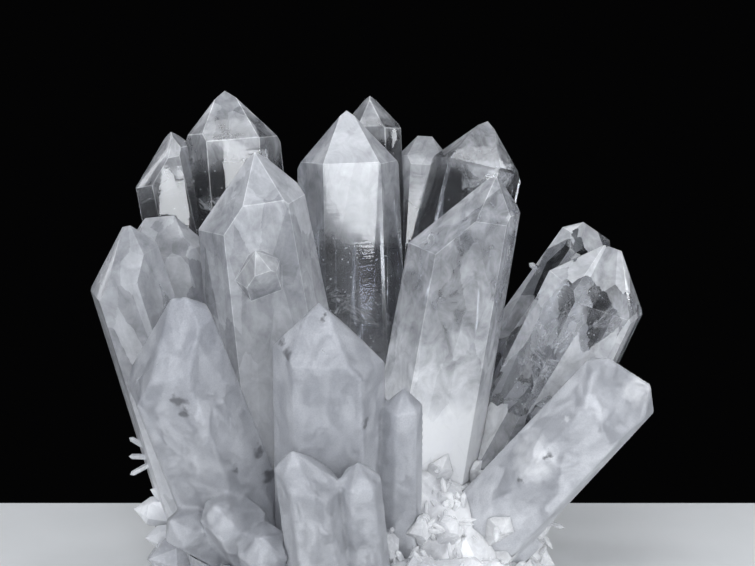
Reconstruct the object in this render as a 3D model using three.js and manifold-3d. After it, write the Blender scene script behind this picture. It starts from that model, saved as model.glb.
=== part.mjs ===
// A quartz crystal cluster: large six-sided points that spread like a fan from a druzy base.
// Millimetres, +Z up, +X to the viewer's right and +Y away from the viewer.
// The origin is the middle of the flat underside.
import * as THREE from "three";
import { ConvexGeometry } from "three/addons/geometries/ConvexGeometry.js";
import { mergeVertices } from "three/addons/utils/BufferGeometryUtils.js";
import Module from "manifold-3d";

const wasm = await Module();
wasm.setup();

// Quartz: a termination face lies at this angle to the crystal's axis, and the six sides are 60 degrees apart.
const TERMINATION_DEG = 38.2;
const SIDES = 6;

// Two neighbours that grew against each other keep this gap.
const CONTACT_GAP = 0.3;

// The base: a low mound with a flat underside.
const BASE = { centreX: -8, centreY: 0, halfWidth: 55, halfDepth: 46, height: 40 };
const BASE_FACETS = 5;
const BASE_LUMP = 0.09;
const FLOOR_CUT = 120;

// The druse: rings of small crystals that cover the base, from its foot to its top.
// rise is the height of the ring as a share of the base, and tilt is how far its crystals point up.
const DRUSE_SEED = 11;
const DRUSE_RINGS = [
  { count: 28, rise: 0.12, tilt: 4, across: 9, length: 10 },
  { count: 25, rise: 0.36, tilt: 20, across: 9.5, length: 12.5 },
  { count: 22, rise: 0.6, tilt: 40, across: 10, length: 14 },
  { count: 16, rise: 0.82, tilt: 60, across: 10, length: 15 },
];
const DRUSE_ROOT = 9;

// Each point: tip is its sharp end and root the middle of its foot, which is set in what it grows from.
// across is its width between flats, side to side and front to back. roll turns the sides about the axis.
// lop moves the tip off the axis, to the right and to the front. taper widens it downwards, in degrees.
// facets moves the six termination faces out, from the front one round by the right.
const TALL_LEFT = {
  tip: [-48.5, 40, 145],
  root: [-36.5, 22.5, 12],
  across: [27, 24],
  roll: 6,
  lop: [-1, 0],
  facets: [0, 1.5, 0, 1, 0, 1.5],
};
const FAR_LEFT = {
  tip: [-65.5, 36, 132.5],
  root: [-45.5, 20, 10],
  across: [17.5, 17],
  roll: 12,
  lop: [4.5, 0],
  facets: [1, 0, 1, 0, 1, 0],
};
const OUTER_LEFT = {
  tip: [-71, -14, 112.5],
  root: [-51.8, 1.7, 8],
  across: [21, 20],
  roll: -8,
  lop: [5.5, 0],
  facets: [0, 0, 0, 0, 1.6, 1.6],
};
const OUTER_LEFT_BACK = {
  tip: [-66, 14, 109.5],
  root: [-53.5, 9, 8],
  across: [19, 18],
  lop: [-2, 0],
  facets: [0, 2.6, 2.6, 0, 3.5, 3.5],
};
const UPPER_LEFT = {
  tip: [-36, 0, 131.5],
  root: [-26.5, 3, 24],
  across: [30, 22],
  roll: 8,
  lop: [3.2, 0],
  taper: 3.6,
  facets: [0, 0, 1.5, 0, 1.2, 0],
};
const UPPER_LEFT_BUD = { tip: [-35, -16.5, 105.5], root: [-33, -2, 86], across: [14, 9], roll: 12, lop: [1.5, 0] };
const CENTRE = {
  tip: [-9.5, 22, 141],
  root: [-6.5, 12, 26],
  across: [28, 24],
  roll: 6,
  facets: [0, 1, 0, 1.5, 0, 1],
};
const CENTRE_BACK = {
  tip: [-2.5, 48, 142.5],
  root: [0.4, 25.5, 16],
  across: [19, 18],
  lop: [1, 0],
  facets: [0.8, 0, 0.8, 0, 0.8, 0],
};
const SMALL_BACK = {
  tip: [15.5, 50, 129],
  root: [9.1, 27, 14],
  across: [15, 15],
  facets: [0, 1.6, 1.6, 0, 1.6, 1.6],
};
const UPPER_RIGHT = {
  tip: [35, 38, 135.5],
  root: [7.2, 18, 16],
  across: [26, 22],
  roll: -10,
  facets: [0, 1.2, 0, 1.2, 0, 1.2],
};
const RIGHT_CHISEL = {
  tip: [35, 0, 124.5],
  root: [12, 0, 22],
  across: [29, 21],
  roll: 6,
  lop: [6.5, 0],
  facets: [0, 0, 1, 0, 1, 0],
};
const OUTER_RIGHT = {
  tip: [68.6, -4, 104],
  root: [34.9, 9.8, 12],
  across: [29, 24],
  roll: 6,
  lop: [-2.2, 0],
  facets: [0, 2.6, 2.6, 0, 1.2, 1.2],
};
const OUTER_RIGHT_BACK = {
  tip: [69, 30, 102],
  root: [14, 17, 22],
  across: [16, 15],
  facets: [0, 4, 4, 0, 3, 3],
};
const LOW_RIGHT = {
  tip: [76, -38, 72.5],
  root: [32, -11, 16],
  across: [22.5, 20],
  lop: [6, 0],
  facets: [0, 0, 0, 0, 9.5, 9.5],
};
const FRONT_LEFT = {
  tip: [-53.5, -46, 99.5],
  root: [-38.4, -16.6, 12],
  across: [28, 24],
  roll: -14,
  lop: [7.5, 0],
  facets: [0, 1.5, 1.5, 0, 1.5, 1.5],
};
const FRONT_CENTRE = {
  tip: [-15.5, -51, 99.5],
  root: [-13.5, -26, 22],
  across: [28, 22],
  lop: [-2.3, 0],
  facets: [0, 1, 0, 1, 0, 1.4],
};
const FRONT_SMALL = { tip: [7.3, -44, 73.5], root: [6.5, -30, 18], across: [9.5, 9.5], roll: 10 };
const FRONT_LOW_LEFT = { tip: [-22.5, -62, 62], root: [-14.8, -39.8, 8], across: [16, 15], lop: [-3.4, 0] };
const FRONT_LOW_RIGHT = { tip: [-5.2, -60, 58], root: [-2.1, -39.5, 8], across: [10.5, 10], roll: 8 };

// Thin needles that grow out of a large point.
const LEFT_NEEDLES = [
  { tip: [-75.2, -7, 45.5], root: [-66, -4, 38.5], across: [1.5, 1.5] },
  { tip: [-75.6, -7, 39.5], root: [-65, -4, 38], across: [1.5, 1.5] },
  { tip: [-75.4, -7, 33.5], root: [-65, -4, 38.5], across: [1.4, 1.4] },
];
const RIGHT_NEEDLE = { tip: [47.8, 24, 92.5], root: [57, 26.5, 85.5], across: [1.6, 1.6] };

// Short blades that grow out of the foot of a large point.
const LEFT_BLADES = [
  { tip: [-75, -6, 22], root: [-52, -1, 17], across: [8.5, 6], roll: 20 },
  { tip: [-70, -4, 27.5], root: [-53, 0, 20], across: [6, 5], roll: 40 },
  { tip: [-71, -11, 14.5], root: [-51, -2, 13], across: [6.5, 5], roll: 10 },
  { tip: [-67, -15, 7], root: [-50, -3, 11], across: [7, 6], roll: 35 },
];
const FRONT_LEFT_BLADES = [
  { tip: [-44.5, -52, 42], root: [-37, -22, 14], across: [16, 13], roll: 12, lop: [-3, 0] },
  { tip: [-58, -45, 35], root: [-42, -18, 12], across: [12, 11], roll: 5 },
  { tip: [-32, -55, 34], root: [-31, -24, 9], across: [14, 12], roll: 25 },
];
const LOW_RIGHT_BLADE = { tip: [51, -12, 13], root: [33, -9, 11], across: [12, 10], roll: 20 };

// Small crystals of the druse that show most, low in front.
const SHOWN_DRUSE = [
  { tip: [30, -44, 21], root: [8, -32, 13], across: [5, 4], roll: 10 },
  { tip: [14, -52, 24], root: [8, -30, 8], across: [9, 8], roll: 15 },
];

// Every point that stands by itself, or the points that grew through each other, is one piece.
// Where two pieces meet, the later one in this list stops against the earlier one.
const PIECES = {
  right_chisel_point: [RIGHT_CHISEL],
  upper_left_point: [UPPER_LEFT, UPPER_LEFT_BUD],
  centre_point: [CENTRE],
  front_centre_points: [FRONT_CENTRE, FRONT_SMALL, FRONT_LOW_LEFT, FRONT_LOW_RIGHT],
  front_left_point: [FRONT_LEFT, ...FRONT_LEFT_BLADES],
  low_right_point: [LOW_RIGHT, LOW_RIGHT_BLADE],
  outer_right_points: [OUTER_RIGHT, OUTER_RIGHT_BACK, RIGHT_NEEDLE],
  outer_left_points: [OUTER_LEFT, OUTER_LEFT_BACK, ...LEFT_NEEDLES, ...LEFT_BLADES],
  tall_left_point: [TALL_LEFT],
  far_left_point: [FAR_LEFT],
  upper_right_point: [UPPER_RIGHT],
  centre_back_point: [CENTRE_BACK],
  small_back_point: [SMALL_BACK],
};

const FRONT = new THREE.Vector3(0, -1, 0);
const COLOUR = { clear: 0xdde2ea, milky: 0xe9ebef };

// A repeatable random number from low to high.
function randomFrom(seed) {
  let state = seed;
  return (low, high) => {
    state = (state * 16807) % 2147483647;
    return low + ((high - low) * state) / 2147483647;
  };
}

// The closed solid of a geometry, for joining and cutting.
function solidOf(geometry) {
  const bare = geometry.clone();
  bare.deleteAttribute("normal");
  bare.deleteAttribute("uv");
  const merged = mergeVertices(bare, 1e-4);
  return new wasm.Manifold(
    new wasm.Mesh({
      numProp: 3,
      vertProperties: new Float32Array(merged.attributes.position.array),
      triVerts: new Uint32Array(merged.index.array),
    }),
  );
}

// The geometry of a solid, with flat faces.
function geometryOf(solid) {
  const mesh = solid.getMesh();
  const geometry = new THREE.BufferGeometry();
  geometry.setAttribute("position", new THREE.BufferAttribute(mesh.vertProperties, mesh.numProp));
  geometry.setIndex(new THREE.BufferAttribute(mesh.triVerts, 1));
  const flat = geometry.toNonIndexed();
  flat.computeVertexNormals();
  return flat;
}

// The largest body of a solid that a cut may have left in several.
function largestBody(solid) {
  return solid.decompose().reduce((best, body) => (body.volume() > best.volume() ? body : best));
}

// The flat-faced solid inside a set of planes whose normals point out.
function convexGeometry(planes) {
  const corners = new Map();
  const normals = new THREE.Matrix3();
  for (let i = 0; i < planes.length; i++) {
    for (let j = i + 1; j < planes.length; j++) {
      for (let k = j + 1; k < planes.length; k++) {
        const [a, b, c] = [planes[i], planes[j], planes[k]];
        normals.set(...a.normal.toArray(), ...b.normal.toArray(), ...c.normal.toArray());
        if (Math.abs(normals.determinant()) < 1e-6) continue;
        const corner = new THREE.Vector3(-a.constant, -b.constant, -c.constant);
        corner.applyMatrix3(normals.clone().invert());
        if (planes.every((plane) => plane.distanceToPoint(corner) < 1e-3)) {
          corners.set(corner.toArray().map((x) => x.toFixed(2)).join(), corner);
        }
      }
    }
  }
  return new ConvexGeometry([...corners.values()]);
}

// The right, front and up directions of a crystal whose axis runs from root to tip.
function crystalFrame(root, tip) {
  const up = tip.clone().sub(root).normalize();
  const front = FRONT.clone().addScaledVector(up, -FRONT.dot(up)).normalize();
  const right = up.clone().cross(front);
  return { right, front, up };
}

// One quartz point as a flat-faced geometry. grow moves every face out by that much.
function pointGeometry(point, grow = 0) {
  const { across, roll = 0, lop = [0, 0], taper = 1, facets = [0, 0, 0, 0, 0, 0] } = point;
  const tip = new THREE.Vector3(...point.tip);
  const root = new THREE.Vector3(...point.root);
  const loose = crystalFrame(root, tip);
  const axisTop = tip.clone().addScaledVector(loose.right, -lop[0]).addScaledVector(loose.front, -lop[1]);
  const { right, front, up } = crystalFrame(root, axisTop);

  const steep = THREE.MathUtils.degToRad(TERMINATION_DEG);
  const lean = THREE.MathUtils.degToRad(taper);
  const shoulder = axisTop.clone().addScaledVector(up, -(across[0] + across[1]) / 4 / Math.tan(steep));
  const planes = [new THREE.Plane().setFromNormalAndCoplanarPoint(up.clone().negate(), root)];
  for (let side = 0; side < SIDES; side++) {
    const turn = THREE.MathUtils.degToRad(roll + (360 / SIDES) * side);
    const outward = front.clone().multiplyScalar(Math.cos(turn)).addScaledVector(right, Math.sin(turn));
    const reach = Math.hypot((across[0] / 2) * Math.sin(turn), (across[1] / 2) * Math.cos(turn));
    const sideNormal = outward.clone().multiplyScalar(Math.cos(lean)).addScaledVector(up, Math.sin(lean));
    const sidePlace = shoulder.clone().addScaledVector(outward, reach);
    planes.push(new THREE.Plane().setFromNormalAndCoplanarPoint(sideNormal, sidePlace));
    const tipNormal = outward.clone().multiplyScalar(Math.cos(steep)).addScaledVector(up, Math.sin(steep));
    const tipPlace = tip.clone().addScaledVector(tipNormal, facets[side]);
    planes.push(new THREE.Plane().setFromNormalAndCoplanarPoint(tipNormal, tipPlace));
  }
  planes.forEach((plane) => (plane.constant -= grow));
  return convexGeometry(planes);
}

// Several points that grew through each other, joined in one solid.
function clump(points, grow = 0) {
  return points
    .map((point) => solidOf(pointGeometry(point, grow)))
    .reduce((joined, solid) => joined.add(solid));
}

// The mound that the crystals grow from: a faceted, lumpy half ball.
function moundGeometry() {
  const mound = new THREE.IcosahedronGeometry(1, BASE_FACETS);
  const place = mound.attributes.position;
  const vertex = new THREE.Vector3();
  for (let i = 0; i < place.count; i++) {
    vertex.fromBufferAttribute(place, i);
    const lump = Math.sin(5 * vertex.x + 1) * Math.cos(6 * vertex.y) + Math.sin(7 * vertex.z + 4 * vertex.x);
    vertex.multiplyScalar(1 + (BASE_LUMP / 2) * lump);
    vertex.multiply(new THREE.Vector3(BASE.halfWidth, BASE.halfDepth, BASE.height));
    vertex.add(new THREE.Vector3(BASE.centreX, BASE.centreY, 0));
    place.setXYZ(i, vertex.x, vertex.y, vertex.z);
  }
  return mound;
}

// The small crystals round the base, each pointing out of it.
function drusePoints() {
  const random = randomFrom(DRUSE_SEED);
  return DRUSE_RINGS.flatMap(({ count, rise, tilt, across, length }) =>
    Array.from({ length: count }, (_, i) => {
      const turn = (2 * Math.PI * (i + random(-0.3, 0.3))) / count;
      const level = Math.min(rise + random(-0.1, 0.1), 0.95);
      const waist = Math.sqrt(1 - level * level);
      const foot = new THREE.Vector3(
        BASE.centreX + BASE.halfWidth * waist * Math.cos(turn),
        BASE.centreY + BASE.halfDepth * waist * Math.sin(turn),
        BASE.height * level,
      );
      const climb = THREE.MathUtils.degToRad(tilt + random(-16, 16));
      const swing = turn + random(-0.5, 0.5);
      const axis = new THREE.Vector3(
        Math.cos(swing) * Math.cos(climb),
        Math.sin(swing) * Math.cos(climb),
        Math.sin(climb),
      );
      const size = random(0.65, 1.35);
      const wide = across * size;
      return {
        tip: foot.clone().addScaledVector(axis, length * size * random(0.6, 1)).toArray(),
        root: foot.clone().addScaledVector(axis, -DRUSE_ROOT).toArray(),
        across: [wide, wide * random(0.7, 1)],
        roll: random(0, 60),
        lop: [wide * random(-0.2, 0.2), wide * random(-0.2, 0.2)],
      };
    }),
  );
}

// The base with its druse, cut flat underneath and opened where the large points are set in it.
function druzyBase(sockets) {
  const floor = new THREE.BoxGeometry(2 * FLOOR_CUT, 2 * FLOOR_CUT, FLOOR_CUT);
  floor.translate(0, 0, -FLOOR_CUT / 2);
  const grown = [...drusePoints(), ...SHOWN_DRUSE].reduce(
    (base, point) => base.add(solidOf(pointGeometry(point))),
    solidOf(moundGeometry()),
  );
  const seated = sockets.reduce((base, socket) => base.subtract(socket), grown.subtract(solidOf(floor)));
  return largestBody(seated);
}

// A named mesh of one piece.
function piece(name, solid, colour, roughness) {
  const material = new THREE.MeshStandardMaterial({ color: colour, roughness, metalness: 0 });
  const mesh = new THREE.Mesh(geometryOf(solid), material);
  mesh.name = name;
  return mesh;
}

const cluster = new THREE.Group();
const grownSoFar = [];
for (const [name, points] of Object.entries(PIECES)) {
  const whole = grownSoFar.reduce((solid, earlier) => solid.subtract(earlier), clump(points));
  cluster.add(piece(name, largestBody(whole), COLOUR.clear, 0.1));
  grownSoFar.push(clump(points, CONTACT_GAP));
}
cluster.add(piece("druzy_base", druzyBase(grownSoFar), COLOUR.milky, 0.45));

export default cluster;
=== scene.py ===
"""A quartz crystal cluster: clear and frosted points with inner veils, on a white druzy base."""
import math
import random

import bpy
import numpy as np
from mathutils import Euler, Matrix, Vector
from mathutils.bvhtree import BVHTree


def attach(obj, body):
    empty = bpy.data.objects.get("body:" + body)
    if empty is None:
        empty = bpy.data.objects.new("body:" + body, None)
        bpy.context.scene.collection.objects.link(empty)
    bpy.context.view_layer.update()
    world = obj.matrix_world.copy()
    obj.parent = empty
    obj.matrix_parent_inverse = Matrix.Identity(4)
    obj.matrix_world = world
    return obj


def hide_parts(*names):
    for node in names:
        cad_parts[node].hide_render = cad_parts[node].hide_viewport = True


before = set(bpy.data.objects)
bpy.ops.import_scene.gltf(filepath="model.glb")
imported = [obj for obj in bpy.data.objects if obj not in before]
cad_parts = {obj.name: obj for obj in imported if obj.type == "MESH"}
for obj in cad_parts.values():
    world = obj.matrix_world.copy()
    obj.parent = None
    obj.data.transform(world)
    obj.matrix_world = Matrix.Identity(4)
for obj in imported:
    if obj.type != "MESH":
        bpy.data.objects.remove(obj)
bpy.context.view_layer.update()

MM = 0.001

# The camera stands in front and looks a little down. Its picture is 755 by 566.
PICTURE_WIDTH = 755
FOCAL_PIXELS = 1468
SENSOR = 36.0
LOOK_AT = Vector((0, 0, 92 * MM))
LOOK_DOWN = math.radians(14)
DISTANCE = 440 * MM

# The floor ends just behind the base, before a dark room.
FLOOR_BACK = 52 * MM
FLOOR_HALF_WIDTH = 900 * MM
FLOOR_FRONT = -900 * MM

# Loose triangles are joined where they meet, and those of one flat face become one face.
MERGE_GAP = 0.01 * MM
FLAT_ANGLE = math.radians(0.5)

# The edges of clear crystals are worn a little round. Frosted crystals are meshed anew in small steps.
EDGE_ROUND = 0.28 * MM
SHARP_ANGLE = math.radians(12)
SMOOTH_ANGLE = math.radians(16)
ETCH_STEP = 0.6 * MM

# How quartz and the veils and flakes in it bend light, and how much light a metre of quartz takes.
QUARTZ_IOR = 1.544
INNER_IOR = 1.3
ABSORPTION = 2.0

# Noise of the quartz in waves per metre, from wide clouds to fine pits.
DRIFT_WAVES = 55
UNEVEN_WAVES = 95
SHARD_WAVES = 140.0
WISP_WAVES = 190
MARK_WAVES = 420.0
GRAIN_WAVES = 900
GROWTH_LINE_WAVES = 1500
PIT_WAVES = 2200

# Noise of the veils, flakes, druse and table in waves per metre.
VEIL_WAVES = 110
BUBBLE_WAVES = 1200
FLECK_WAVES = 300
DRUSE_DRIFT_WAVES = 70
DRUSE_GRAIN_WAVES = 700
TABLE_WAVES = 40

# Wisps and angular patches run along the crystal, growth lines run around it.
WISP_SQUEEZE = 0.7
SHARD_SQUEEZE = 0.38
GROWTH_LINE_DRIFT = 24

# How far noise makes the single marks and the angular patches ragged.
MARK_RAGGED = 6 * MM
SHARD_RAGGED = 4 * MM

# How strong the dark marks and the painted highlight spots are, and how much of the milkiest quartz is
# milk.
DARK_STRENGTH = 0.8
PAINTED_HIGHLIGHT_STRENGTH = 0.45
MOST_MILK = 0.985

# Height of the relief on the faces.
QUARTZ_RELIEF = 0.5 * MM
DRUSE_RELIEF = 0.4 * MM

# Colours of the quartz, the druse, the inner veils and flakes, the table and the dark room.
CLEAR_TINT = (0.95, 0.965, 1.0, 1)
ABSORBING_TINT = (0.86, 0.88, 0.96, 1)
GREY_MILK = (0.3, 0.31, 0.345)
WHITE_MILK = (0.95, 0.955, 0.97)
DARK_MARK = (0.09, 0.09, 0.1, 1)
CLEAR_DRUSE = (0.97, 0.98, 1.0, 1)
GREY_DRUSE = (0.4, 0.41, 0.45)
WHITE_DRUSE = (0.96, 0.96, 0.97)
VEIL_COLOURS = (0.85, 0.87, 0.9), (1.0, 1.0, 1.0)
FLECK_COLOURS = (0.75, 0.77, 0.82), (1.0, 1.0, 1.0)
TABLE_COLOURS = (0.74, 0.75, 0.75), (0.81, 0.81, 0.81)
ROOM_COLOUR = (0.0012, 0.0012, 0.0013, 1)

# Soft lights: place and size in metres, and power in watts.
LIGHT_COLOUR = (0.925, 0.955, 1.0)
LIGHT_AIM = Vector((0, 0, 0.07))
SOFTBOXES = {
    "key": ((-0.2, -0.5, 0.7), (0.36, 0.26), 1.9),
    "left": ((-0.5, -0.5, 0.22), (0.16, 0.3), 1.3),
    "right": ((0.55, -0.45, 0.22), (0.16, 0.3), 1.6),
    "top": ((0.0, -0.08, 0.8), (0.5, 0.2), 1.6),
    "front": ((0.1, -0.75, 0.28), (0.3, 0.2), 2.2),
    "left_strip": ((-0.42, 0.3, 0.25), (0.05, 0.4), 0.2),
    "right_strip": ((0.42, 0.3, 0.25), (0.05, 0.4), 0.3),
    "back": ((0.0, 0.5, 0.75), (0.5, 0.2), 1.1),
}

# The druse is grey and see-through from this far left of the middle. To the right it turns white.
DRUSE_GREY_SIDE = 12 * MM
DRUSE_WHITER_PER_METRE = 28

# Inner veils and flakes stay inside this share of a crystal's width and length.
CORE_WIDTH = 0.84
CORE_LENGTH = 0.88

# Inner veils: where they start and how far they reach along the crystal, as shares of its length,
# how far they lie off its axis and how wide they are in mm, and their slopes in degrees.
VEIL_LOWEST = 0.35
VEIL_REACH = 0.6
VEIL_SIDEWAYS = (-7, 7)
VEIL_FORWARD = (-5, 7)
VEIL_SIZES = (12, 34)
VEIL_SLOPES = (20, 35, 60, 75)
VEIL_SLOPE_SWAY = (-12, 12)
VEIL_THICK = 0.12 * MM

# Flakes: the lowest as a share of the crystal's length, and the roots of their widths in mm.
FLECK_LOWEST = 0.3
FLECK_SIZES = (0.25, 0.9)

# The first seeds of the tones of faces, of the veils and of the flakes.
FACE_SEED = 20
VEIL_SEED = 3
FLECK_SEED = 60

# The fine druse on the base: its crystals' widths in mm, and in widths their lengths,
# how deep they are sunk in and how far they stay from the large points.
SPRINKLE_COUNT = 240
SPRINKLE_TRIES = 20 * SPRINKLE_COUNT
SPRINKLE_SEED = 5
SPRINKLE_WIDTHS = (0.7, 2.0)
SPRINKLE_LENGTHS = (2.0, 4.2)
SPRINKLE_SUNK = 0.25
SPRINKLE_APART = 0.7
SPRINKLE_LOWEST = 5 * MM
SPRINKLE_SKIPPED_ON_GREY = 0.8

# It stands on faces that look no further down than this. It sways by chance, but not flat to the face.
SPRINKLE_LOOKS_DOWN = -0.3
SPRINKLE_SWAY = 0.4
SPRINKLE_UPRIGHT = 0.35

# Each crystal piece with its material slot, and with places and sizes in mm.
# root and tip are the ends of its main point, across its width and depth,
# and lop is how far the tip lies to the right of the axis.
# etch is how many times a frosted crystal's edges are smoothed.
# milk is how milky the skin is from root to tip, and white how bright that milk is, partly its own tone
# and partly painted light: a foot that the front crystals shade is painted brighter.
# wisps and shards are the strength of the wisps and of the angular patches,
# cloud is how far the milk drifts, and frost the roughness.
# edges is how strongly the worn edges are painted white and milky, a painted highlight where the bevels
# catch the light, and faces the difference from face to face.
# flecks and veils are the numbers of bright flakes and healed cracks inside,
# and crumple is how wavy the cracks are.
# dark are single dark marks on the faces, and pale are bright spots painted as highlights and glow where
# the faces catch the light: place and radius.
POINTS = {
    "right_chisel_point": dict(
        slot="right_chisel_quartz",
        root=(12, 0, 22), tip=(35, 0, 124.5), across=(29, 21), lop=6.5,
        milk=[(0, 0.99), (0.3, 0.95), (0.44, 0.6), (0.58, 0.3), (0.85, 0.28), (1, 0.5)],
        # The bright foot is partly its own white milk and partly painted light, lifting a foot that the
        # front crystals shade.
        white=[(0, 1), (0.3, 0.95), (0.55, 0.5), (1, 0.5)],
        wisps=1.5, shards=0.35, cloud=0.22, frost=0.03, edges=0.35, faces=0.15,
        flecks=90, veils=7, crumple=0.05,
    ),
    "upper_left_point": dict(
        slot="upper_left_quartz",
        root=(-26.5, 3, 24), tip=(-36, 0, 131.5), across=(30, 22), lop=3.2,
        milk=[(0, 0.97), (0.35, 0.8), (0.6, 0.55), (0.8, 0.55), (1, 0.7)],
        white=[(0, 1), (0.35, 0.65), (0.6, 0.4), (1, 0.3)],
        wisps=0.9, shards=0.35, cloud=0.25, frost=0.1, edges=0.3, faces=0.2,
        flecks=80, veils=5, crumple=0.05,
        pale=[(-34.9, -16.9, 99.8, 9)],
    ),
    "centre_point": dict(
        slot="centre_quartz",
        root=(-6.5, 12, 26), tip=(-9.5, 22, 141), across=(28, 24), lop=0,
        milk=[
            (0, 0.98), (0.24, 0.9), (0.34, 0.1), (0.64, 0.05), (0.7, 0.3), (0.82, 0.45), (1, 0.8),
        ],
        white=[(0, 0.75), (0.35, 0.55), (0.6, 0.4), (0.8, 0.3), (1, 0.35)],
        wisps=1.2, shards=0.2, cloud=0.12, frost=0.02, edges=0.35, faces=0.25,
        flecks=220, veils=4, crumple=0.05,
    ),
    "front_centre_points": dict(
        slot="front_centre_quartz",
        root=(-13.5, -26, 22), tip=(-15.5, -51, 99.5), across=(28, 22), lop=-2.3, etch=4,
        milk=[(0, 0.62), (0.3, 0.68), (0.6, 0.74), (1, 0.8)],
        white=[(0, 0.4), (0.5, 0.28), (1, 0.2)],
        wisps=1.3, shards=0.25, cloud=0.3, frost=0.42, edges=0.0, faces=0.0,
        flecks=0, veils=3, crumple=0.05,
        dark=[
            (-25.8, -50.4, 88.3, 1.8), (-24, -54.4, 86.2, 2.2), (-3.4, -50.4, 65.2, 1.8),
            (-14.5, -52.6, 95.3, 1),
        ],
    ),
    "front_left_point": dict(
        slot="front_left_quartz",
        root=(-38.4, -16.6, 12), tip=(-53.5, -46, 99.5), across=(28, 24), lop=7.5, etch=4,
        milk=[(0, 0.74), (0.2, 0.7), (0.4, 0.7), (0.65, 0.68), (0.8, 0.78), (1, 0.84)],
        white=[(0, 0.24), (0.3, 0.28), (0.5, 0.36), (0.72, 0.22), (1, 0.08)],
        wisps=1.4, shards=0.3, cloud=0.3, frost=0.38, edges=0.0, faces=0.0,
        flecks=0, veils=4, crumple=0.05,
        dark=[
            (-53.7, -50.3, 71.6, 2.4), (-52.5, -49.1, 67.9, 2), (-33.7, -33.7, 51.2, 2.4),
            (-31.2, -30.8, 42.5, 2.8), (-39.9, -40.7, 48.2, 1.3),
        ],
    ),
    "low_right_point": dict(
        slot="low_right_quartz",
        root=(32, -11, 16), tip=(76, -38, 72.5), across=(22, 20), lop=6, etch=2,
        milk=[(0, 0.95), (0.35, 0.8), (1, 0.72)],
        white=[(0, 0.6), (0.4, 0.36), (1, 0.34)],
        wisps=1.5, shards=0.45, cloud=0.35, frost=0.37, edges=0.0, faces=0.0,
        flecks=0, veils=5, crumple=0.05,
        dark=[(48.2, -36.4, 51, 1.4), (40.9, -32.2, 41.8, 1)],
        pale=[(43.5, -32.5, 49, 9), (72, -39, 71, 5), (52.6, -38.6, 62.2, 2)],
    ),
    "outer_right_points": dict(
        slot="outer_right_quartz",
        root=(34.9, 9.8, 12), tip=(68.6, -4, 104), across=(29, 24), lop=-2.2,
        milk=[(0, 0.9), (0.2, 0.5), (0.3, 0.3), (0.85, 0.3), (1, 0.28)],
        white=[(0, 1), (0.4, 0.7), (1, 0.6)],
        wisps=1.2, shards=1.3, cloud=0.2, frost=0.0, edges=0.5, faces=0.3,
        flecks=240, veils=6, crumple=0.012,
    ),
    "outer_left_points": dict(
        slot="outer_left_quartz",
        root=(-51.8, 1.7, 8), tip=(-71, -14, 112.5), across=(21, 20), lop=5.5,
        milk=[(0, 0.95), (0.4, 0.75), (0.7, 0.5), (1, 0.62)],
        white=[(0, 0.7), (0.5, 0.5), (1, 0.38)],
        wisps=0.8, shards=0.35, cloud=0.3, frost=0.12, edges=0.35, faces=0.3,
        flecks=80, veils=5, crumple=0.05,
    ),
    "tall_left_point": dict(
        slot="tall_left_quartz",
        root=(-36.5, 22.5, 12), tip=(-48.5, 40, 145), across=(27, 24), lop=-1,
        milk=[(0, 0.8), (0.2, 0.1), (0.3, 0.02), (0.8, 0.02), (0.88, 0.3), (1, 0.75)],
        white=[(0, 0.25), (0.6, 0.3), (0.85, 0.5), (1, 0.55)],
        wisps=1.4, shards=0.4, cloud=0.12, frost=0.0, edges=0.5, faces=0.4,
        flecks=140, veils=5, crumple=0.05,
    ),
    "far_left_point": dict(
        slot="far_left_quartz",
        root=(-45.5, 20, 10), tip=(-65.5, 36, 132.5), across=(17, 17), lop=4.5,
        milk=[(0, 0.8), (0.2, 0.1), (0.3, 0.02), (0.82, 0.04), (0.9, 0.3), (1, 0.5)],
        white=[(0, 0.25), (0.6, 0.3), (0.85, 0.5), (1, 0.55)],
        wisps=1.0, shards=0.25, cloud=0.12, frost=0.0, edges=0.4, faces=0.3,
        flecks=60, veils=3, crumple=0.05,
    ),
    "upper_right_point": dict(
        slot="upper_right_quartz",
        root=(7.2, 18, 16), tip=(35, 38, 135.5), across=(26, 22), lop=0,
        milk=[(0, 0.8), (0.2, 0.1), (0.3, 0.02), (0.84, 0.02), (0.92, 0.25), (1, 0.6)],
        white=[(0, 0.25), (0.6, 0.3), (0.85, 0.5), (1, 0.55)],
        wisps=1.4, shards=0.3, cloud=0.1, frost=0.0, edges=0.6, faces=0.3,
        flecks=140, veils=6, crumple=0.05,
    ),
    "centre_back_point": dict(
        slot="centre_back_quartz",
        root=(0.4, 25.5, 16), tip=(-2.5, 48, 142.5), across=(19, 18), lop=1,
        milk=[(0, 0.8), (0.2, 0.1), (0.3, 0.02), (0.88, 0.04), (0.94, 0.4), (1, 0.6)],
        white=[(0, 0.25), (0.6, 0.3), (0.85, 0.5), (1, 0.55)],
        wisps=1.2, shards=0.4, cloud=0.1, frost=0.0, edges=0.4, faces=0.3,
        flecks=60, veils=3, crumple=0.05,
    ),
    "small_back_point": dict(
        slot="small_back_quartz",
        root=(9.1, 27, 14), tip=(15.5, 50, 129), across=(15, 15), lop=0,
        milk=[(0, 0.8), (0.2, 0.1), (0.3, 0.02), (0.78, 0.04), (0.88, 0.4), (1, 0.65)],
        white=[(0, 0.25), (0.6, 0.3), (0.85, 0.5), (1, 0.55)],
        wisps=1.0, shards=0.25, cloud=0.1, frost=0.06, edges=0.35, faces=0.2,
        flecks=20, veils=2, crumple=0.05,
    ),
}


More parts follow.
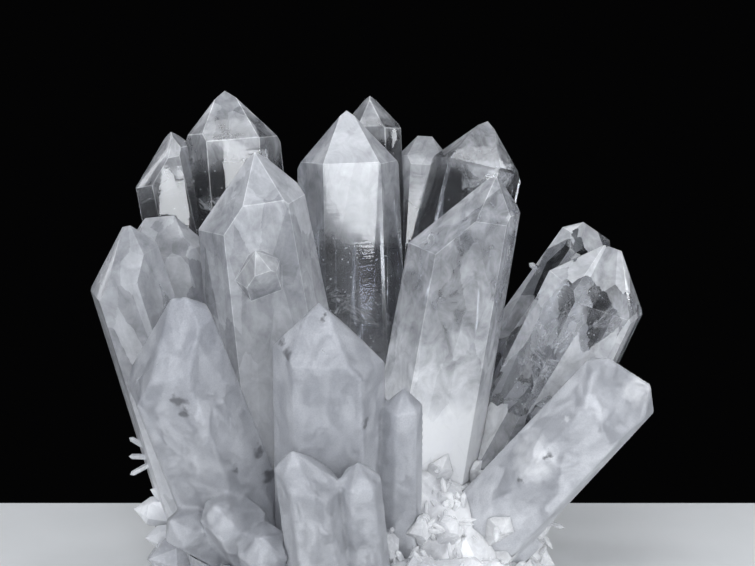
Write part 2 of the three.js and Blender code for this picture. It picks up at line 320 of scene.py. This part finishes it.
class Wire:
    """One value of a material. A Python sum on it adds Math nodes."""

    def __init__(self, tree, socket):
        self.tree = tree
        self.socket = socket

    def sum(self, operation, first, second=0.0):
        node = self.tree.nodes.new("ShaderNodeMath")
        node.operation = operation
        join(self.tree, first, node.inputs[0])
        join(self.tree, second, node.inputs[1])
        return Wire(self.tree, node.outputs[0])

    def __add__(self, other):
        return self.sum("ADD", self, other)

    def __radd__(self, other):
        return self.sum("ADD", other, self)

    def __sub__(self, other):
        return self.sum("SUBTRACT", self, other)

    def __rsub__(self, other):
        return self.sum("SUBTRACT", other, self)

    def __mul__(self, other):
        return self.sum("MULTIPLY", self, other)

    def __rmul__(self, other):
        return self.sum("MULTIPLY", other, self)

    def __truediv__(self, other):
        return self.sum("DIVIDE", self, other)

    def size(self):
        """The value without its sign."""
        return self.sum("ABSOLUTE", self)

    def held(self, low=0.0, high=1.0):
        """The value kept between two limits."""
        return self.sum("MINIMUM", self.sum("MAXIMUM", self, low), high)


def join(tree, value, socket):
    """Links a wire to a socket, or sets a plain value on it."""
    if isinstance(value, Wire):
        tree.links.new(value.socket, socket)
    else:
        socket.default_value = value


class Finish:
    """A material put together node by node on the piece's own Object coordinates."""

    def __init__(self, name):
        self.material = bpy.data.materials.new(name)
        self.material.use_nodes = True
        self.tree = self.material.node_tree
        self.tree.nodes.clear()
        self.place = self.node("TexCoord", {}, out="Object")

    def node(self, kind, sockets, out=0, stops=None, **settings):
        node = self.tree.nodes.new("ShaderNode" + kind)
        for key, value in settings.items():
            setattr(node, key, value)
        if stops:
            ramp = node.color_ramp.elements
            ramp[0].position, ramp[1].position = stops[0][0], stops[-1][0]
            for position, _ in stops[1:-1]:
                ramp.new(position)
            for element, (_, value) in zip(ramp, stops):
                element.color = (value, value, value, 1)
        for name, value in sockets.items():
            join(self.tree, value, node.inputs[name])
        return Wire(self.tree, node.outputs[out])

    def noise(self, vector, scale, detail=3.0, roughness=0.55, distortion=0.0):
        shape = {"Scale": scale, "Detail": detail, "Roughness": roughness, "Distortion": distortion}
        return self.node("TexNoise", {"Vector": vector, **shape})

    def along(self, direction):
        ends = {0: self.place, 1: direction}
        return self.node("VectorMath", ends, out="Value", operation="DOT_PRODUCT")

    def spots(self, marks):
        """Ragged round marks, full inside half their radius and gone at its end."""
        if not marks:
            return 0.0
        waves = {"Vector": self.place, "Scale": MARK_WAVES, "Detail": 3.0}
        ragged = self.node("TexNoise", waves, out="Color")
        ragged = self.node("VectorMath", {0: ragged, 1: (0.5, 0.5, 0.5)}, operation="SUBTRACT")
        ragged = self.node("VectorMath", {0: ragged, "Scale": MARK_RAGGED}, operation="SCALE")
        ragged = self.node("VectorMath", {0: self.place, 1: ragged}, operation="ADD")
        total = 0.0
        for x, y, z, radius in marks:
            middle = Vector((x, y, z)) * MM
            away = self.node("VectorMath", {0: ragged, 1: middle}, out="Value", operation="DISTANCE")
            total = total + (2 - away * (2 / (radius * MM))).held()
        return total.held()

    def blend(self, factor, first, second):
        return self.node("Mix", {0: factor, 6: (*first, 1), 7: (*second, 1)}, out=2, data_type="RGBA")

    def done(self, surface, volume=None):
        output = self.tree.nodes.new("ShaderNodeOutputMaterial")
        join(self.tree, surface, output.inputs["Surface"])
        if volume:
            join(self.tree, volume, output.inputs["Volume"])
        return self.material


def crystal_line(spec):
    """The two ends of a crystal's axis."""
    root, tip = Vector(spec["root"]) * MM, Vector(spec["tip"]) * MM
    right, _, _ = crystal_axes(root, tip)
    return root, tip - right * spec["lop"] * MM


def crystal_axes(root, tip):
    """The right, front and up directions of a crystal."""
    up = (tip - root).normalized()
    front = Vector((0, -1, 0))
    front = (front - up * front.dot(up)).normalized()
    return up.cross(front), front, up


def quartz_finish(spec):
    """Clear quartz that turns milky along its axis, with clouds, angular patches, single dark marks, and
    painted highlights on its worn edges and in bright spots.
    """
    finish = Finish(spec["slot"])
    frost = spec["frost"]
    root, tip = crystal_line(spec)
    right, front, up = crystal_axes(root, tip)
    across, deep, high = finish.along(right), finish.along(front), finish.along(up)
    level = (high - root.dot(up)) / (tip - root).length
    stretched = finish.node("CombineXYZ", {0: across, 1: deep, 2: high * WISP_SQUEEZE})

    drift = finish.noise(finish.place, DRIFT_WAVES, 3)
    wisps = finish.noise(stretched, WISP_WAVES, 5, 0.62, 0.7)
    grain = finish.noise(finish.place, GRAIN_WAVES, 2)
    pits = (finish.noise(finish.place, PIT_WAVES, 2, 0.6) - 0.5) * frost
    long_shards = high * SHARD_SQUEEZE + (wisps - 0.5) * SHARD_RAGGED
    shard = finish.node("CombineXYZ", {0: across, 1: deep, 2: long_shards})
    shard = finish.node("TexVoronoi", {"Vector": shard, "Scale": SHARD_WAVES}, out="Color")
    shard = finish.node("SeparateColor", {0: shard})
    edge = finish.node("Attribute", {}, out="Fac", attribute_name="edge")
    face = finish.node("Attribute", {}, out="Fac", attribute_name="face") - 0.5
    patch = (shard - 0.5) * spec["shards"]

    reach = level + (drift - 0.5) * spec["cloud"]
    body = finish.node("ValToRGB", {"Fac": reach}, stops=spec["milk"])
    sway = (wisps - 0.5) * spec["wisps"] + patch + face * spec["faces"] + (grain - 0.5) * 0.2
    # The worn edges are painted white and milky: a painted highlight standing in for the light that the
    # bevels catch.
    edge_highlight = edge * (wisps * 1.6 - 0.3).held() * spec["edges"]
    mask = (body + body * (1 - body) * 3 * sway + edge_highlight).held(0.0, MOST_MILK)

    aside, ahead = across * GROWTH_LINE_DRIFT, deep * GROWTH_LINE_DRIFT
    lines = finish.node("CombineXYZ", {0: aside, 1: ahead, 2: high * GROWTH_LINE_WAVES})
    lines = finish.noise(lines, 1, 2, 0.5)
    uneven = finish.noise(finish.place, UNEVEN_WAVES, 2)
    relief = lines * 0.1 + uneven * 0.4 + grain * (0.03 + frost * 0.1)
    bump = finish.node("Bump", {"Height": relief, "Strength": 0.3, "Distance": QUARTZ_RELIEF})

    # The pale spots are painted highlights: milk made brighter where the faces catch the light.
    dark, pale = finish.spots(spec.get("dark", [])), finish.spots(spec.get("pale", []))
    # The white ramp is partly painted light: a foot in the shade of the front crystals is painted
    # brighter.
    bright = finish.node("ValToRGB", {"Fac": reach}, stops=spec["white"]) + pale * PAINTED_HIGHLIGHT_STRENGTH
    bright = bright + (wisps - 0.5) * spec["wisps"] * 0.4 + patch * 0.35
    bright = bright + face * spec["faces"] * 0.6 + edge_highlight + pits * 1.2
    milk = finish.blend(bright.held(), GREY_MILK, WHITE_MILK)
    marked = {0: dark * DARK_STRENGTH, 6: milk, 7: DARK_MARK}
    colour = finish.node("Mix", marked, out=2, data_type="RGBA")

    clear = finish.node(
        "BsdfPrincipled",
        {
            "Base Color": CLEAR_TINT,
            "Transmission Weight": 1.0,
            "IOR": QUARTZ_IOR,
            "Roughness": (frost * (1 + (drift - 0.5) * 0.5 + (grain - 0.5) * 0.25)).held(),
            "Normal": bump,
        },
    )
    milky = finish.node(
        "BsdfPrincipled",
        {
            "Base Color": colour,
            "Subsurface Weight": 0.6 - frost * 0.7,
            "Subsurface Radius": (1.0, 1.0, 1.05),
            "Subsurface Scale": (2.5 + frost * 4) * MM,
            "IOR": QUARTZ_IOR,
            "Roughness": (0.2 + frost * 0.9 + (drift - 0.5) * 0.2).held(0.08, 0.8),
            "Normal": bump,
        },
    )
    surface = finish.node("MixShader", {0: mask, 1: clear, 2: milky})
    absorption = finish.node("VolumeAbsorption", {"Color": ABSORBING_TINT, "Density": ABSORPTION})
    return finish.done(surface, absorption)


def druse_finish():
    """Druse of small crystals: greyish and see-through on the left, sugary white on the right."""
    finish = Finish("druse_quartz")
    drift = finish.noise(finish.place, DRUSE_DRIFT_WAVES, 3)
    grain = finish.noise(finish.place, DRUSE_GRAIN_WAVES, 3)
    sugar = finish.along(Vector((1, 0, 0))) + DRUSE_GREY_SIDE
    sugar = (sugar * DRUSE_WHITER_PER_METRE).held()
    mask = (0.72 + sugar * 0.2 + (drift - 0.5) * 0.7 + (grain - 0.5) * 0.2).held(0.2, 0.97)
    relief = grain * 0.5 + drift
    bump = finish.node("Bump", {"Height": relief, "Strength": 0.25, "Distance": DRUSE_RELIEF})
    bright = (sugar * 0.6 + 0.3 + (drift - 0.5) * 0.6).held()
    colour = finish.blend(bright, GREY_DRUSE, WHITE_DRUSE)
    rough = (0.25 + (grain - 0.5) * 0.4).held(0.05, 0.7)
    clear = finish.node(
        "BsdfPrincipled",
        {
            "Base Color": CLEAR_DRUSE,
            "Transmission Weight": 1.0,
            "IOR": QUARTZ_IOR,
            "Roughness": rough * 0.5,
            "Normal": bump,
        },
    )
    milky = finish.node(
        "BsdfPrincipled",
        {
            "Base Color": colour,
            "Subsurface Weight": 0.6,
            "Subsurface Radius": (1.0, 1.0, 1.03),
            "Subsurface Scale": 3 * MM,
            "IOR": QUARTZ_IOR,
            "Roughness": rough,
            "Normal": bump,
        },
    )
    return finish.done(finish.node("MixShader", {0: mask, 1: clear, 2: milky}))


def veil_finish():
    """A healed crack inside the crystal: haze of tiny bubbles and bright threads."""
    finish = Finish("inner_veil")
    wisps = finish.noise(finish.place, VEIL_WAVES, 5, 0.66, 1.2)
    bubbles = finish.noise(finish.place, BUBBLE_WAVES, 2, 0.6)
    curls = finish.noise(finish.place, VEIL_WAVES, 3, 0.5, 1.6)
    # Threads run where the curls cross their middle value.
    threads = ((0.012 - (curls - 0.5).size()) * 90).held()
    body = ((wisps - 0.5) * 3.0 + (bubbles - 0.5) * 0.4).held(0.0, 0.6) + threads * 0.3
    colour = finish.blend(wisps, *VEIL_COLOURS)
    look = {"Base Color": colour, "Roughness": 0.3, "IOR": INNER_IOR, "Alpha": body.held(0.0, 0.9)}
    return finish.done(finish.node("BsdfPrincipled", look))


def fleck_finish():
    """Bright flakes, some whiter than others."""
    finish = Finish("inner_fleck")
    tone = finish.noise(finish.place, FLECK_WAVES, 1)
    colour = finish.blend(tone, *FLECK_COLOURS)
    look = {"Base Color": colour, "Roughness": 0.25, "IOR": INNER_IOR}
    return finish.done(finish.node("BsdfPrincipled", look))


def deselect():
    bpy.ops.object.select_all(action="DESELECT")


def pick(piece):
    """Selects one piece alone and makes it the active one."""
    deselect()
    piece.select_set(True)
    bpy.context.view_layer.objects.active = piece


def apply_modifier(piece, kind, **settings):
    pick(piece)
    modifier = piece.modifiers.new(kind.title(), kind)
    for key, value in settings.items():
        setattr(modifier, key, value)
    bpy.ops.object.modifier_apply(modifier=modifier.name)


def merged_copy(node_name, name):
    """A copy of a CAD node with its loose triangles joined to whole faces."""
    piece = bpy.data.objects.new(name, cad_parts[node_name].data.copy())
    bpy.context.scene.collection.objects.link(piece)
    piece.data.materials.clear()
    pick(piece)
    bpy.ops.object.mode_set(mode="EDIT")
    bpy.ops.mesh.select_all(action="SELECT")
    bpy.ops.mesh.remove_doubles(threshold=MERGE_GAP)
    bpy.ops.mesh.dissolve_limited(angle_limit=FLAT_ANGLE)
    bpy.ops.object.mode_set(mode="OBJECT")
    return piece


def crystal(node_name, seed):
    """A crystal with worn edges. Its faces and edges are marked for the finish."""
    piece = merged_copy(node_name, node_name + "_quartz")
    chance = random.Random(seed)
    tone = piece.data.attributes.new("face", "FLOAT", "FACE")
    for number in range(len(piece.data.polygons)):
        tone.data[number].value = chance.random()
    piece.data.materials.append(None)
    piece.data.materials.append(None)
    apply_modifier(
        piece, "BEVEL", width=EDGE_ROUND, segments=4, limit_method="ANGLE",
        angle_limit=SHARP_ANGLE, use_clamp_overlap=True, material=1,
    )
    edge = piece.data.attributes.new("edge", "FLOAT", "FACE")
    for number, face in enumerate(piece.data.polygons):
        edge.data[number].value = float(face.material_index)
        face.material_index = 0
    piece.data.materials.clear()
    pick(piece)
    bpy.ops.object.shade_smooth_by_angle(angle=SMOOTH_ANGLE)
    return piece


def etched_crystal(node_name, etch):
    """A frosted crystal, its edges etched round."""
    piece = merged_copy(node_name, node_name + "_quartz")
    apply_modifier(piece, "REMESH", mode="VOXEL", voxel_size=ETCH_STEP)
    apply_modifier(piece, "SMOOTH", factor=0.5, iterations=etch)
    pick(piece)
    bpy.ops.object.shade_smooth()
    return piece


def crystal_core(root, tip, across):
    """The inside of a crystal, some way under its faces: a slimmer six-sided prism."""
    deselect()
    bpy.ops.mesh.primitive_cylinder_add(vertices=6, radius=0.5, depth=1)
    core = bpy.context.object
    right, front, up = crystal_axes(root, tip)
    length = (tip - root).length * CORE_LENGTH
    core.matrix_world = (
        Matrix.Translation(root.lerp(tip, CORE_LENGTH / 2))
        @ Matrix((right, front, up)).transposed().to_4x4()
        @ Matrix.Diagonal((across[0] * CORE_WIDTH * MM, across[1] * CORE_WIDTH * MM, length, 1))
    )
    bpy.ops.object.transform_apply(location=True, rotation=True, scale=True)
    return core


def veil(core, centre, turn, size, crumple, seed):
    """A thin wavy sheet, cut to the inside of its crystal."""
    deselect()
    bpy.ops.mesh.primitive_grid_add(
        x_subdivisions=7, y_subdivisions=7, size=size, location=centre, rotation=turn
    )
    sheet = bpy.context.object
    bpy.ops.object.mode_set(mode="EDIT")
    bpy.ops.mesh.select_all(action="SELECT")
    bpy.ops.transform.vertex_random(offset=size * crumple, uniform=0.1, normal=0.9, seed=seed)
    bpy.ops.mesh.vertices_smooth(factor=0.5, repeat=3)
    bpy.ops.object.mode_set(mode="OBJECT")
    deselect()
    sheet.select_set(True)
    bpy.ops.object.transform_apply(location=True, rotation=True, scale=True)
    apply_modifier(sheet, "SOLIDIFY", thickness=VEIL_THICK, offset=0)
    apply_modifier(sheet, "BOOLEAN", operation="INTERSECT", object=core, solver="EXACT")
    return sheet


def veils(node_name, spec, seed):
    """The inner veils of one crystal piece as one object."""
    chance = random.Random(seed)
    root, tip = crystal_line(spec)
    right, front, up = crystal_axes(root, tip)
    core = crystal_core(root, tip, spec["across"])
    sheets = []
    for number in range(spec["veils"]):
        level = VEIL_LOWEST + VEIL_REACH * (number + chance.random()) / spec["veils"]
        centre = root.lerp(tip, level)
        sideways = right * chance.uniform(*VEIL_SIDEWAYS) * MM
        centre += sideways + front * chance.uniform(*VEIL_FORWARD) * MM
        steep = chance.choice(VEIL_SLOPES) + chance.uniform(*VEIL_SLOPE_SWAY)
        swing = chance.uniform(0, 360)
        lean = Matrix((right, front, up)).transposed().to_4x4()
        lean = lean @ Matrix.Rotation(math.radians(swing), 4, "Z")
        lean = lean @ Matrix.Rotation(math.radians(steep), 4, "X")
        size = chance.uniform(*VEIL_SIZES) * MM
        sheet = veil(core, centre, lean.to_euler(), size, spec["crumple"], seed * 50 + number)
        if len(sheet.data.polygons):
            sheets.append(sheet)
        else:
            bpy.data.objects.remove(sheet)
    bpy.data.objects.remove(core)
    if not sheets:
        return None
    deselect()
    for sheet in sheets:
        sheet.select_set(True)
    bpy.context.view_layer.objects.active = sheets[0]
    if len(sheets) > 1:
        bpy.ops.object.join()
    sheets[0].name = node_name + "_veils"
    return sheets[0]


def fleck_shape():
    """A thin flake of unit width: a flat four-sided cone."""
    deselect()
    bpy.ops.mesh.primitive_cone_add(
        vertices=4, radius1=0.5, radius2=0, depth=0.1, location=(0, 0, 0.05)
    )
    flake = bpy.context.object
    bpy.ops.object.transform_apply(location=True, rotation=True, scale=True)
    shape = np.array([vertex.co for vertex in flake.data.vertices])
    faces = [list(face.vertices) for face in flake.data.polygons]
    bpy.data.objects.remove(flake)
    return shape, faces


def joined_copies(name, shape, faces, placings):
    """One mesh with a copy of a small shape at each placing, a turn-and-size matrix and a spot."""
    points = [shape @ size.T + spot for size, spot in placings]
    polygons = []
    for number in range(len(placings)):
        polygons += [[number * len(shape) + corner for corner in face] for face in faces]
    mesh = bpy.data.meshes.new(name)
    mesh.from_pydata(np.concatenate(points).tolist(), [], polygons)
    piece = bpy.data.objects.new(name, mesh)
    bpy.context.scene.collection.objects.link(piece)
    return piece


def flecks(node_name, spec, seed):
    """Tiny bright flakes that float inside a crystal."""
    chance = np.random.default_rng(seed)
    root, tip = crystal_line(spec)
    right, front, _ = crystal_axes(root, tip)
    shape, faces = fleck_shape()
    placings = []
    for _ in range(spec["flecks"]):
        swing = chance.uniform(0, 2 * math.pi)
        reach = math.sqrt(chance.random()) * CORE_WIDTH / 2 * MM
        spot = root.lerp(tip, chance.uniform(FLECK_LOWEST, CORE_LENGTH))
        spot += right * spec["across"][0] * reach * math.cos(swing)
        spot += front * spec["across"][1] * reach * math.sin(swing)
        turn = Euler(chance.uniform(0, 2 * math.pi, 3)).to_matrix()
        size = chance.uniform(*FLECK_SIZES) ** 2 * MM
        placings.append((np.array(turn) * size, np.array(spot)))
    return joined_copies(node_name + "_flecks", shape, faces, placings)


def small_crystal():
    """A small six-sided crystal of unit width and length with a slanting tip, standing on the origin."""
    deselect()
    bpy.ops.mesh.primitive_cylinder_add(vertices=6, radius=0.5, depth=0.7, location=(0, 0, 0.35))
    stub = bpy.context.object
    bpy.ops.object.transform_apply(location=True, rotation=True, scale=True)
    bpy.ops.object.mode_set(mode="EDIT")
    bpy.ops.mesh.select_all(action="DESELECT")
    bpy.ops.object.mode_set(mode="OBJECT")
    for face in stub.data.polygons:
        face.select = face.normal.z > 0.9
    bpy.ops.object.mode_set(mode="EDIT")
    bpy.ops.mesh.select_mode(type="FACE")
    bpy.ops.mesh.extrude_region_move(TRANSFORM_OT_translate={"value": (0.06, 0.03, 0.3)})
    bpy.ops.mesh.merge(type="CENTER")
    bpy.ops.object.mode_set(mode="OBJECT")
    shape = np.array([vertex.co for vertex in stub.data.vertices])
    faces = [list(face.vertices) for face in stub.data.polygons]
    bpy.data.objects.remove(stub)
    return shape, faces


def druse_sprinkle():
    """Many small crystals that stand on the open faces of the base, away from the large points."""
    chance = np.random.default_rng(SPRINKLE_SEED)
    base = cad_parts["druzy_base"].data
    base.calc_loop_triangles()
    corners = np.array([[base.vertices[v].co for v in t.vertices] for t in base.loop_triangles])
    spans = np.cross(corners[:, 1] - corners[:, 0], corners[:, 2] - corners[:, 0])
    areas = np.linalg.norm(spans, axis=1)
    normals = spans / np.maximum(areas, 1e-12)[:, None]
    others = []
    for name in POINTS:
        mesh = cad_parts[name].data
        others.append(
            BVHTree.FromPolygons([v.co for v in mesh.vertices], [p.vertices for p in mesh.polygons])
        )
    shape, faces = small_crystal()
    placings = []
    chosen = chance.choice(len(areas), size=SPRINKLE_TRIES, p=areas / areas.sum())
    for triangle in chosen:
        a, b = sorted(chance.random(2))
        spot = corners[triangle, 0] * a + corners[triangle, 1] * (b - a) + corners[triangle, 2] * (1 - b)
        normal = Vector(normals[triangle])
        if len(placings) >= SPRINKLE_COUNT:
            continue
        if normal.z < SPRINKLE_LOOKS_DOWN or spot[2] < SPRINKLE_LOWEST:
            continue
        if spot[0] < -DRUSE_GREY_SIDE and chance.random() < SPRINKLE_SKIPPED_ON_GREY:
            continue
        wide = chance.uniform(*SPRINKLE_WIDTHS) * MM
        near = SPRINKLE_APART * wide
        if any(tree.find_nearest(Vector(spot), near)[0] is not None for tree in others):
            continue
        tall = wide * chance.uniform(*SPRINKLE_LENGTHS)
        sway = Vector(chance.normal(0, SPRINKLE_SWAY, 3))
        aim = (normal + sway).normalized()
        if aim.dot(normal) < SPRINKLE_UPRIGHT:
            continue
        turn = Vector((0, 0, 1)).rotation_difference(aim).to_matrix()
        turn = turn @ Matrix.Rotation(chance.uniform(0, 1), 3, "Z")
        size = np.array(turn) @ np.diag((wide, wide, tall))
        placings.append((size, spot - np.array(aim) * SPRINKLE_SUNK * wide))
    return joined_copies("druse_sprinkle", shape, faces, placings)


def softbox(name, place, size, power):
    """A rectangular soft light that looks at the crystals."""
    light = bpy.data.lights.new(name, "AREA")
    light.shape = "RECTANGLE"
    light.size, light.size_y = size
    light.energy = power
    light.color = LIGHT_COLOUR
    lamp = bpy.data.objects.new(name, light)
    lamp.location = place
    lamp.rotation_euler = (LIGHT_AIM - Vector(place)).to_track_quat("-Z", "Y").to_euler()
    bpy.context.scene.collection.objects.link(lamp)


def pale_floor():
    """The pale table that the cluster stands on."""
    deselect()
    bpy.ops.mesh.primitive_plane_add(size=2, location=(0, 0, 0))
    floor = bpy.context.object
    floor.name = "floor"
    floor.scale = (FLOOR_HALF_WIDTH, (FLOOR_BACK - FLOOR_FRONT) / 2, 1)
    floor.location = (0, (FLOOR_BACK + FLOOR_FRONT) / 2, -0.2 * MM)
    bpy.ops.object.transform_apply(location=True, rotation=True, scale=True)
    finish = Finish("pale_table")
    grain = finish.noise(finish.place, TABLE_WAVES, 4)
    colour = finish.blend(grain, *TABLE_COLOURS)
    floor.data.materials.append(
        finish.done(finish.node("BsdfPrincipled", {"Base Color": colour, "Roughness": 0.55}))
    )


def studio():
    """The camera, the dark room and the lights."""
    scene = bpy.context.scene
    camera = bpy.data.cameras.new("camera")
    camera.sensor_width = SENSOR
    camera.lens = SENSOR * FOCAL_PIXELS / PICTURE_WIDTH
    camera.clip_start = 0.01
    eye = bpy.data.objects.new("camera", camera)
    eye.location = LOOK_AT + DISTANCE * Vector((0, -math.cos(LOOK_DOWN), math.sin(LOOK_DOWN)))
    eye.rotation_euler = (math.pi / 2 - LOOK_DOWN, 0, 0)
    scene.collection.objects.link(eye)
    scene.camera = eye

    world = bpy.data.worlds.new("dark_room")
    world.use_nodes = True
    world.node_tree.nodes["Background"].inputs["Color"].default_value = ROOM_COLOUR
    scene.world = world

    for name, (place, size, power) in SOFTBOXES.items():
        softbox(name, place, size, power)
    scene.view_settings.view_transform = "Standard"
    scene.cycles.max_bounces = 12
    scene.cycles.transmission_bounces = 12
    scene.cycles.transparent_max_bounces = 24


def dress():
    """Gives every crystal its edges, finish, veils and flakes, and the base its druse."""
    veil_material = veil_finish()
    fleck_material = fleck_finish()
    for number, (node_name, spec) in enumerate(POINTS.items()):
        if "etch" in spec:
            piece = etched_crystal(node_name, spec["etch"])
        else:
            piece = crystal(node_name, FACE_SEED + number)
        piece.data.materials.append(quartz_finish(spec))
        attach(piece, "root")
        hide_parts(node_name)
        inner = veils(node_name, spec, VEIL_SEED + number)
        if inner:
            inner.data.materials.clear()
            inner.data.materials.append(veil_material)
            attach(inner, "root")
        if spec["flecks"]:
            bits = flecks(node_name, spec, FLECK_SEED + number)
            bits.data.materials.append(fleck_material)
            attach(bits, "root")
    druse = druse_finish()
    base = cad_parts["druzy_base"]
    base.data.materials.clear()
    base.data.materials.append(druse)
    sprinkle = druse_sprinkle()
    sprinkle.data.materials.append(druse)
    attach(sprinkle, "root")


studio()
pale_floor()
dress()
